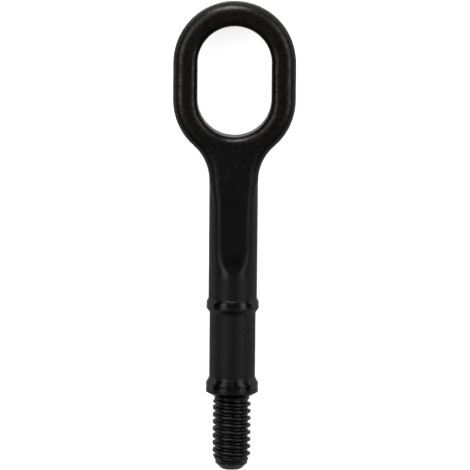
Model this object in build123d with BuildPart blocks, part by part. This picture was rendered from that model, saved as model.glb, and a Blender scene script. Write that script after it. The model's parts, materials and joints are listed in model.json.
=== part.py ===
# Screw-in tow eye: one steel forging with an oblong eye, a flattened round shank,
# two guide collars and a coarse left-hand thread. It lies as it comes to rest,
# on the rim of the upper collar and on the outer end of the eye.

import math
import os

from build123d import *

# Thread, millimetres
thread_diameter = 16.0
thread_pitch = 3.0
thread_depth = 1.25
thread_flank_angle = 30.0  # from the radius, on each side of the ridge
thread_crest_width = 0.9
thread_length = 30.9  # from the seat to the end of the tip
thread_start = 1.95  # where the ridge starts above the seat, inside the lower collar
thread_root_sink = 0.3  # how far the ridge is rooted in the core

# Tip of the thread
tip_diameter = 8.4
tip_round = 2.0
lead_taper_length = 3.6

# Relief between the thread and its seat
relief_diameter = 14.7
relief_length = 0.9
run_out_length = 1.3

# Collars
collar_diameter = 22.0
seat_cone_length = 2.15
lower_collar_land = 3.85
lower_flare_length = 2.45
upper_collar_width = 5.6
lower_bevel_length = 1.7  # on the upper collar
lower_bevel_depth = 1.2
upper_bevel_length = 1.1
upper_bevel_depth = 0.6

# Shank
guide_diameter = 19.3  # between the collars
guide_length = 27.45
shank_diameter = 20.3  # between the upper collar and the eye
shank_length = 49.9  # from the upper collar to the start of the neck

# Flats on the shank, in line with the faces of the eye
flat_thickness = 16.0
flat_length = 28.0  # from the start of the neck to where the flats begin to run out
flat_run_out_length = 9.5
flat_edge_radius = 4.0

# Eye, with soft edges on its outside and round its hole
eye_width = 51.0
limb_width = 10.1  # from its outside to its hole
eye_centres = 15.2  # between the centres of its two rounded ends
neck_radius = 19.4
neck_blend_length = 12.0  # over which the shank's round side turns upright
eye_edge_width = 4.7
eye_edge_depth = 4.4
hole_edge_width = 3.3
hole_edge_depth = 3.0

# Radii, and stations along the axis, which runs along Y from the seat to the eye
crest_radius = thread_diameter / 2
root_radius = crest_radius - thread_depth
relief_radius = relief_diameter / 2
tip_radius = tip_diameter / 2
collar_radius = collar_diameter / 2
guide_radius = guide_diameter / 2
shank_radius = shank_diameter / 2
half_flat = flat_thickness / 2
eye_radius = eye_width / 2
hole_radius = eye_radius - limb_width

tip_y = -thread_length
lead_y = tip_y + root_radius - tip_radius
relief_y = -relief_length
lower_land_y = seat_cone_length + lower_collar_land
guide_y = lower_land_y + lower_flare_length
upper_collar_y = guide_y + guide_length
shank_y = upper_collar_y + upper_collar_width
neck_y = shank_y + shank_length
flat_y = neck_y - flat_length

neck_x = shank_radius + neck_radius
neck_rise = math.sqrt((eye_radius + neck_radius) ** 2 - neck_x**2)
neck_angle = math.degrees(math.atan2(neck_rise, neck_x))
lower_centre_y = neck_y + neck_rise
upper_centre_y = lower_centre_y + eye_centres
eye_end_y = upper_centre_y + eye_radius

cut_margin = 1.0


def across(y):
    """A plane square to the axis at this station, with its own Y axis pointing up."""
    return Plane((0, y, 0), x_dir=(1, 0, 0), z_dir=(0, -1, 0))


def soft_side(crown):
    """The upper half of an outer side at this distance from the axis, with its soft edge."""
    edge = EllipticalCenterArc(
        (crown - eye_edge_width, half_flat - eye_edge_depth),
        eye_edge_width,
        eye_edge_depth,
        start_angle=0,
        arc_size=90,
    )
    Line((crown, 0), edge @ 0)
    return edge @ 1


# Thread ridge with a narrow flat crest, which grows out of the tip and dies away at the relief
ridge_radius = root_radius - thread_root_sink
ridge_height = thread_depth + thread_root_sink
crest_half = thread_crest_width / 2
base_half = crest_half + ridge_height * math.tan(math.radians(thread_flank_angle))

buried_radius = relief_radius - thread_root_sink
clear_radius = crest_radius + cut_margin
lead_slope = lead_taper_length / ridge_height
run_out_slope = run_out_length / (crest_radius - buried_radius)

with BuildPart() as ridge:
    with BuildLine() as ridge_path:
        Helix(
            pitch=thread_pitch,
            height=thread_start - lead_y + base_half,
            radius=ridge_radius,
            center=(0, thread_start, 0),
            direction=(0, -1, 0),
            lefthand=True,
        )
    ridge_start = ridge_path.line @ 0
    outward = ridge_start - Vector(0, thread_start, 0)
    with BuildSketch(Plane(ridge_start, x_dir=outward, z_dir=outward.cross(Vector(0, 1, 0)))):
        with BuildLine():
            Polyline(
                (0, -base_half),
                (ridge_height, -crest_half),
                (ridge_height, crest_half),
                (0, base_half),
                close=True,
            )
        make_face()
    sweep(path=ridge_path.line, is_frenet=True)
    with BuildSketch():
        with BuildLine():
            Polyline(
                (0, lead_y - lead_slope * cut_margin),
                (ridge_radius - cut_margin, lead_y - lead_slope * cut_margin),
                (clear_radius, lead_y + lead_slope * (clear_radius - ridge_radius)),
                (clear_radius, relief_y - run_out_slope * (clear_radius - buried_radius)),
                (buried_radius, relief_y),
                (buried_radius, seat_cone_length),
                (0, seat_cone_length),
                close=True,
            )
        make_face()
    revolve(axis=Axis.Y, mode=Mode.INTERSECT)

# Eye: a flat oblong ring with soft edges, on a neck that runs into the flattened shank
with BuildPart() as eye:
    # Upper right quarter of the flattened shank, whose round side turns upright towards the neck
    round_reach = shank_radius - flat_edge_radius
    corner_z = half_flat - flat_edge_radius
    corner_x = math.sqrt(round_reach**2 - corner_z**2)
    round_x = corner_x * shank_radius / round_reach
    round_z = corner_z * shank_radius / round_reach
    with BuildSketch(across(neck_y - neck_blend_length), mode=Mode.PRIVATE) as round_end:
        with BuildLine():
            edge = TangentArc((corner_x, half_flat), (round_x, round_z), tangent=(1, 0))
            TangentArc((shank_radius, 0), edge @ 1, tangent=(0, 1))
            Polyline(edge @ 0, (0, half_flat), (0, 0), (shank_radius, 0))
        make_face()
    with BuildSketch(across(neck_y), mode=Mode.PRIVATE) as neck_end:
        with BuildLine():
            Polyline(soft_side(shank_radius), (0, half_flat), (0, 0), (shank_radius, 0))
        make_face()
    extrude(round_end.sketch, amount=flat_length - neck_blend_length)
    loft([round_end.sketch, neck_end.sketch], ruled=True)

    # The same quarter of the neck: a web, and a hollow side that runs into the ring
    with BuildSketch():
        with BuildLine():
            Polyline((0, neck_y), (neck_x, neck_y), (0, lower_centre_y), close=True)
        make_face()
        with Locations((neck_x, neck_y)):
            Circle(neck_radius + eye_edge_width, mode=Mode.SUBTRACT)
        with Locations((0, lower_centre_y)):
            Circle(hole_radius + hole_edge_width, mode=Mode.SUBTRACT)
    extrude(amount=half_flat)
    with BuildSketch(across(neck_y)):
        with BuildLine():
            inner_x = shank_radius - eye_edge_width
            Polyline(soft_side(shank_radius), (inner_x, 0), (shank_radius, 0))
        make_face()
    revolve(axis=Axis((neck_x, neck_y, 0), (0, 0, -1)), revolution_arc=neck_angle)

    # The same quarter of the ring, then the other three quarters of it all
    with BuildSketch(across(upper_centre_y), mode=Mode.PRIVATE) as limb:
        with BuildLine():
            hole_edge = EllipticalCenterArc(
                (hole_radius + hole_edge_width, half_flat - hole_edge_depth),
                hole_edge_width,
                hole_edge_depth,
                start_angle=90,
                arc_size=90,
            )
            Line(soft_side(eye_radius), hole_edge @ 0)
            Polyline(hole_edge @ 1, (hole_radius, 0), (eye_radius, 0))
        make_face()
    lower_limb = Pos(0, -eye_centres, 0) * limb.sketch
    revolve(limb.sketch, axis=Axis((0, upper_centre_y, 0), (0, 0, 1)), revolution_arc=90)
    extrude(limb.sketch, amount=eye_centres)
    revolve(lower_limb, axis=Axis((0, lower_centre_y, 0), (0, 0, -1)), revolution_arc=90)
    mirror(about=Plane.XY)
    mirror(about=Plane.YZ)

with BuildPart() as forging:
    # Turned body: tip, thread core, relief, collars and the round part of the shank
    with BuildSketch():
        with BuildLine():
            tip = FilletPolyline(
                (0, tip_y), (tip_radius, tip_y), (root_radius, lead_y), radius=tip_round
            )
            Polyline(
                tip @ 1,
                (root_radius, relief_y),
                (relief_radius, relief_y),
                (relief_radius, 0),
                (collar_radius, seat_cone_length),
                (collar_radius, lower_land_y),
                (guide_radius, guide_y),
                (guide_radius, upper_collar_y),
                (collar_radius - lower_bevel_depth, upper_collar_y),
                (collar_radius, upper_collar_y + lower_bevel_length),
                (collar_radius, shank_y - upper_bevel_length),
                (collar_radius - upper_bevel_depth, shank_y),
                (shank_radius, shank_y),
                (shank_radius, flat_y),
                (0, flat_y),
                tip @ 0,
            )
        make_face()
    revolve(axis=Axis.Y)

    # The flats run out towards the collar in a curve
    flat_depth = shank_radius - half_flat
    run_out_radius = (flat_run_out_length**2 + flat_depth**2) / (2 * flat_depth)
    cut_depth = flat_depth + cut_margin
    cut_length = math.sqrt(2 * run_out_radius * cut_depth - cut_depth**2)
    with BuildSketch(Plane.YZ):
        with BuildLine():
            run_out = TangentArc(
                (flat_y, half_flat), (flat_y - cut_length, half_flat + cut_depth), tangent=(-1, 0)
            )
            Polyline(run_out @ 1, (flat_y, half_flat + cut_depth), run_out @ 0)
        make_face()
        mirror(about=Plane.XZ)
    extrude(amount=shank_radius, both=True, mode=Mode.SUBTRACT)
    run_outs = forging.faces().filter_by(GeomType.CYLINDER).filter_by(
        lambda face: abs(face.axis_of_rotation.direction.X) > 0.5
    )
    rims = run_outs.edges()
    fillet(rims - rims.filter_by(GeomType.LINE), flat_edge_radius)

    add(eye.part)
    add(ridge.part)

# Rest: the tilt at which the rim of the upper collar and the end of the eye touch one plane
collar_rim_y = shank_y - upper_bevel_length
rim_rise = collar_radius - half_flat + eye_edge_depth
rim_run = eye_end_y - eye_edge_width - collar_rim_y
rim_square = rim_run**2 - eye_edge_width**2
rim_product = rim_rise * rim_run
rim_root = math.sqrt(rim_product**2 - rim_square * (rim_rise**2 - eye_edge_depth**2))
rest_tilt = math.atan((rim_product - rim_root) / rim_square)
rest_y = -(eye_end_y + tip_y) / 2 * math.cos(rest_tilt)
rest_z = collar_rim_y * math.sin(rest_tilt) + collar_radius * math.cos(rest_tilt)

with BuildPart() as tow_eye:
    add(forging.part.moved(Location((0, rest_y, rest_z), (-math.degrees(rest_tilt), 0, 0))))

os.makedirs("parts", exist_ok=True)
tow_eye.part.label = "tow_eye"
export_step(tow_eye.part, "parts/tow_eye.step")
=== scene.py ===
import json
import math

import bpy
from mathutils import Matrix, Vector

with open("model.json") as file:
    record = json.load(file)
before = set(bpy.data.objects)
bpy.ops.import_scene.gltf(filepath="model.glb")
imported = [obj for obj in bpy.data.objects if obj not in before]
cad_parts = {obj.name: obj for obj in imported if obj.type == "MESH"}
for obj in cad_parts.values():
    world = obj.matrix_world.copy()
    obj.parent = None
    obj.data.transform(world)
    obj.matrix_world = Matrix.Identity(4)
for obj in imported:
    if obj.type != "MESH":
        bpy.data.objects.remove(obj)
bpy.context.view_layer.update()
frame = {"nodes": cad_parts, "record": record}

# Where the forging lies, in metres: its axis runs along Y, tilted a little. Its stations are counted
# along the axis, from the thread's seat towards the eye.
SEAT_CONE_LENGTH = 0.00215  # from the seat to the lower collar's land, where the guide collars start
MOUNTS = {mount["name"]: mount for mount in frame["record"]["mounts"]}
GUIDE = MOUNTS["guide_collars"]
TOWARDS_TIP = Vector(GUIDE["axis"])
HALF_GUIDE_LENGTH = GUIDE["dims"]["length_mm"] / 2000
SEAT = Vector(GUIDE["pos_m"]) + TOWARDS_TIP * (HALF_GUIDE_LENGTH + SEAT_CONE_LENGTH)
REST_TILT = math.atan2(TOWARDS_TIP.z, -TOWARDS_TIP.y)

# Finish of the coating by station, between the two ends of the forging
TIP_STATION = -0.031
FORGING_LENGTH = 0.197
ROUGHNESS_ALONG = [
    # Thread
    (-0.0305, 0.33),
    (-0.0010, 0.32),
    # Lower collar, glossy on its upper edge and flare
    (0.0015, 0.34),
    (0.0038, 0.32),
    (0.0044, 0.16),
    (0.0080, 0.18),
    (0.0086, 0.40),
    # Shank between the collars
    (0.0092, 0.50),
    (0.0354, 0.50),
    # Upper collar, glossy on its upper edge and top bevel
    (0.0376, 0.40),
    (0.0386, 0.36),
    (0.0392, 0.16),
    (0.0412, 0.16),
    # Shank and neck
    (0.0422, 0.48),
    (0.0525, 0.46),
    (0.0560, 0.44),
    (0.0700, 0.44),
    (0.0850, 0.40),
    (0.1050, 0.36),
    # Eye
    (0.1250, 0.33),
    (0.1480, 0.33),
    (0.1600, 0.36),
]
TINT_ALONG = [
    # Thread
    (-0.0020, (0.0270, 0.0270, 0.0282, 1)),
    # Collars
    (0.0010, (0.0198, 0.0199, 0.0208, 1)),
    (0.0420, (0.0198, 0.0199, 0.0208, 1)),
    # Shank and neck
    (0.0600, (0.0158, 0.0157, 0.0162, 1)),
    (0.0900, (0.0156, 0.0148, 0.0152, 1)),
    # Eye
    (0.1200, (0.0197, 0.0186, 0.0178, 1)),
]

# The forged skin starts at the collars and is full at the eye. The flats are pressed smooth along
# their middle, from their run-out to the neck, where that fades.
SKIN_NONE, SKIN_FULL = 0.042, 0.110
PRESSED_HALF_WIDTH, PRESSED_RIM = 0.0030, 0.0050
RUN_OUT_END, RUN_OUT_START = 0.0505, 0.0530
NECK_FADE_START, NECK_FADE_END = 0.070, 0.090
EDGE_SOFTNESS = 0.0004
SKIN_DEPTH = 0.0003

# How strongly each of these changes the coating
SPECKLE_CONTRAST = 1.8
NICK_BRIGHTNESS = 1.3
CLOUD_ROUGHNESS = 0.15
PRESSED_BRIGHTNESS = 0.4
PRESSED_SMOOTHNESS = 0.4
PRESSED_GLOSS = 0.18

FLOOR_REACH = 3.0
LAMP_DISTANCE = 0.9

# The photograph's frame
IMAGE_WIDTH = 470  # pixels
PIXELS_PER_METRE = 2394  # on the forging
MIDDLE_STATION = 0.0682  # where the middle of the picture falls on the axis
MIDDLE_ASIDE = 1.76  # pixels to the right of the axis


class Value:
    """A socket in a material's nodes, so that its maths is written as an expression."""

    def __init__(self, finish, socket):
        self.finish = finish
        self.socket = socket

    def maths(self, operation, *values):
        return self.finish.node("ShaderNodeMath", {"operation": operation}, dict(enumerate(values)))

    def __add__(self, other):
        return self.maths("ADD", self, other)

    __radd__ = __add__

    def __sub__(self, other):
        return self.maths("SUBTRACT", self, other)

    def __rsub__(self, other):
        return self.maths("SUBTRACT", other, self)

    def __mul__(self, other):
        return self.maths("MULTIPLY", self, other)

    __rmul__ = __mul__

    def __abs__(self):
        return self.maths("ABSOLUTE", self)

    def fade(self, none, full):
        """Rises from 0 to 1 as this value goes from none to full."""
        return self.finish.node("ShaderNodeMapRange", None, {0: self, 1: none, 2: full})


class Finish:
    """The nodes of one material or of the world."""

    def __init__(self, holder):
        holder.use_nodes = True
        self.holder = holder
        self.nodes = holder.node_tree.nodes
        self.links = holder.node_tree.links
        self.nodes.clear()

    def node(self, kind, settings=None, sockets=None, out=0):
        """Adds a node, sets it up, fills its sockets with values or links, and gives one output."""
        made = self.nodes.new(kind)
        for name, setting in (settings or {}).items():
            if name == "stops":
                ramp = made.color_ramp.elements
                while len(ramp) < len(setting):
                    ramp.new(0.5)
                for element, (place, colour) in zip(ramp, setting):
                    element.position = place
                    element.color = colour
            else:
                setattr(made, name, setting)
        for name, value in (sockets or {}).items():
            if isinstance(value, Value):
                self.links.new(value.socket, made.inputs[name])
            else:
                made.inputs[name].default_value = value
        return Value(self, made.outputs[out]) if made.outputs else None


def black_coating():
    """Black coating: satin and speckled on the eye, matt on the shank, glossy on its pressed flats
    and round the upper edges of both collars."""
    coat = Finish(bpy.data.materials.new("black_coating"))
    place = coat.node("ShaderNodeTexCoord", out="Object")
    x, y, z = [coat.node("ShaderNodeSeparateXYZ", None, {0: place}, out=axis) for axis in "XYZ"]
    station = (y - SEAT.y) * math.cos(REST_TILT) - (z - SEAT.z) * math.sin(REST_TILT)

    def share(at):
        return (at - TIP_STATION) * (1 / FORGING_LENGTH)

    def noise(scale, detail):
        sockets = {"Vector": place, "Scale": scale, "Detail": detail}
        return coat.node("ShaderNodeTexNoise", None, sockets)

    along = share(station)
    rough_stops = [(share(at), (value, value, value, 1)) for at, value in ROUGHNESS_ALONG]
    tint_stops = [(share(at), colour) for at, colour in TINT_ALONG]
    rough = coat.node("ShaderNodeValToRGB", {"stops": rough_stops}, {0: along})
    tint = coat.node("ShaderNodeValToRGB", {"stops": tint_stops}, {0: along})

    forged = station.fade(SKIN_NONE, SKIN_FULL)
    middle = abs(x).fade(PRESSED_RIM, PRESSED_HALF_WIDTH)
    past_run_out = station.fade(RUN_OUT_END, RUN_OUT_START)
    before_neck = station.fade(NECK_FADE_END, NECK_FADE_START)
    pressed = middle * past_run_out * before_neck

    grain = noise(900, 4)
    dents = noise(420, 3)
    clouds = noise(60, 4)
    speckle = noise(650, 5)
    nicks = grain.fade(0.66, 0.74)
    marks = (speckle - 0.5) * SPECKLE_CONTRAST + nicks * NICK_BRIGHTNESS
    mottle = 1 + forged * marks + pressed * PRESSED_BRIGHTNESS
    colour = coat.node("ShaderNodeVectorMath", {"operation": "SCALE"}, {0: tint, "Scale": mottle})

    # Where the coating is glossier, its skin is smoother too
    skin = (grain + dents) * (rough + 0.05 - pressed * PRESSED_SMOOTHNESS)
    soft_edges = coat.node("ShaderNodeBevel", {"samples": 8}, {"Radius": EDGE_SOFTNESS})
    uneven = coat.node(
        "ShaderNodeBump",
        None,
        {"Height": skin, "Strength": 0.5, "Distance": SKIN_DEPTH, "Normal": soft_edges},
    )
    shade = coat.node(
        "ShaderNodeBsdfPrincipled",
        None,
        {
            "Base Color": colour,
            "Metallic": 1.0,
            "Specular Tint": (0.55, 0.55, 0.55, 1),
            "Roughness": rough + (clouds - 0.5) * CLOUD_ROUGHNESS - pressed * PRESSED_GLOSS,
            "Normal": uneven,
        },
    )
    coat.node("ShaderNodeOutputMaterial", None, {"Surface": shade})
    return coat.holder


tow_eye = frame["nodes"]["tow_eye"]
tow_eye.data.materials.clear()
tow_eye.data.materials.append(black_coating())


def floor_white():
    """A pale floor that reads white to the camera and in reflections, and still takes a shadow."""
    floor = Finish(bpy.data.materials.new("floor_white"))
    camera, glossy, transmission = [
        floor.node("ShaderNodeLightPath", out=ray)
        for ray in ("Is Camera Ray", "Is Glossy Ray", "Is Transmission Ray")
    ]
    seen = camera + glossy + transmission
    paper = floor.node("ShaderNodeBsdfDiffuse", None, {"Color": (0.8, 0.8, 0.8, 1)})
    glow = floor.node("ShaderNodeEmission", None, {"Color": (1, 1, 1, 1), "Strength": seen * 0.75})
    both = floor.node("ShaderNodeAddShader", None, {0: paper, 1: glow})
    floor.node("ShaderNodeOutputMaterial", None, {"Surface": both})
    return floor.holder


def lay_floor(reach):
    """A square floor under the forging that reaches this far to each side."""
    mesh = bpy.data.meshes.new("floor")
    corners = [(-reach, -reach, 0), (reach, -reach, 0), (reach, reach, 0), (-reach, reach, 0)]
    mesh.from_pydata(corners, [], [(0, 1, 2, 3)])
    mesh.materials.append(floor_white())
    floor = bpy.data.objects.new("floor", mesh)
    bpy.context.scene.collection.objects.link(floor)


lay_floor(FLOOR_REACH)


def facing(right, up, towards, middle, distance):
    """The place of a lamp or camera that looks at this point from this far off."""
    turn = Matrix((right, up, towards)).transposed().to_4x4()
    return Matrix.Translation(middle + towards * distance) @ turn


def softbox(name, across, along, width, height, power):
    """A soft lamp that faces the forging, so many degrees across from straight above and so many
    along towards the eye."""
    lamp = bpy.data.lights.new(name, "AREA")
    lamp.shape = "RECTANGLE"
    lamp.size = width
    lamp.size_y = height
    lamp.energy = power
    across = math.radians(across)
    along = math.radians(along)
    towards = Vector(
        (
            math.sin(across) * math.cos(along),
            math.sin(along),
            math.cos(across) * math.cos(along),
        )
    )
    right = Vector((0, 1, 0)).cross(towards).normalized()
    body = bpy.data.objects.new(name, lamp)
    body.matrix_world = facing(right, towards.cross(right), towards, Vector(), LAMP_DISTANCE)
    bpy.context.scene.collection.objects.link(body)


softbox("left_softbox", across=-40, along=16, width=0.40, height=0.90, power=3.9)
softbox("right_softbox", across=48, along=16, width=0.40, height=0.90, power=4.1)
softbox("top_softbox", across=-15, along=65, width=0.44, height=0.26, power=8.4)
softbox("front_fill", across=0, along=-28, width=1.2, height=1.5, power=1.05)


def studio_world():
    """A dim warm room round the lamps."""
    world = bpy.data.worlds.new("studio")
    bpy.context.scene.world = world
    room = Finish(world)
    glow = room.node("ShaderNodeBackground", None, {"Color": (1, 0.93, 0.88, 1), "Strength": 0.08})
    room.node("ShaderNodeOutputWorld", None, {"Surface": glow})


studio_world()


def photo_camera():
    """Looks down on the forging a little from the side of its eye, as in the photograph."""
    lean = math.radians(7.5) + REST_TILT
    roll = math.radians(0.5)
    distance = 1.5
    aside = Vector((1, 0, 0))
    along = Vector((0, math.cos(lean), -math.sin(lean)))
    towards = Vector((0, math.sin(lean), math.cos(lean)))
    right = aside * math.cos(roll) + along * math.sin(roll)
    up = along * math.cos(roll) - aside * math.sin(roll)
    middle = SEAT - TOWARDS_TIP * MIDDLE_STATION + right * (MIDDLE_ASIDE / PIXELS_PER_METRE)
    lens = bpy.data.cameras.new("photo_camera")
    lens.sensor_width = 36
    lens.lens = lens.sensor_width * distance * PIXELS_PER_METRE / IMAGE_WIDTH
    lens.clip_start = 0.05
    camera = bpy.data.objects.new("photo_camera", lens)
    camera.matrix_world = facing(right, up, towards, middle, distance)
    bpy.context.scene.collection.objects.link(camera)
    bpy.context.scene.camera = camera


photo_camera()
bpy.context.scene.view_settings.view_transform = "Standard"
